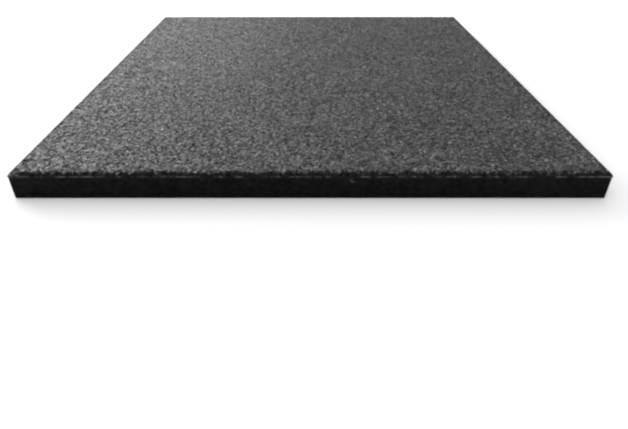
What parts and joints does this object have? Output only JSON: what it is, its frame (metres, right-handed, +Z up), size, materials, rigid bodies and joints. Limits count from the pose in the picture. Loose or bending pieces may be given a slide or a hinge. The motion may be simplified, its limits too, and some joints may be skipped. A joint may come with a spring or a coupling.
{
  "type": "rubber mat",
  "caption": "Square mat of pressed black rubber crumb with a chamfered tread face, laid loose or bonded as shock-absorbing flooring.",
  "frame": {"origin": "centre of the flat underside", "axes": "+Z up through the thickness, out of the tread face; X and Y along the two pairs of equal sides"},
  "size_m": [0.5, 0.5, 0.025],
  "materials": {
    "crumb_rubber": "matt pressed black rubber crumb, open granular tread face and denser moulded edges"
  },
  "bodies": {
    "root": {"mat": "crumb_rubber"}
  },
  "joints": []
}
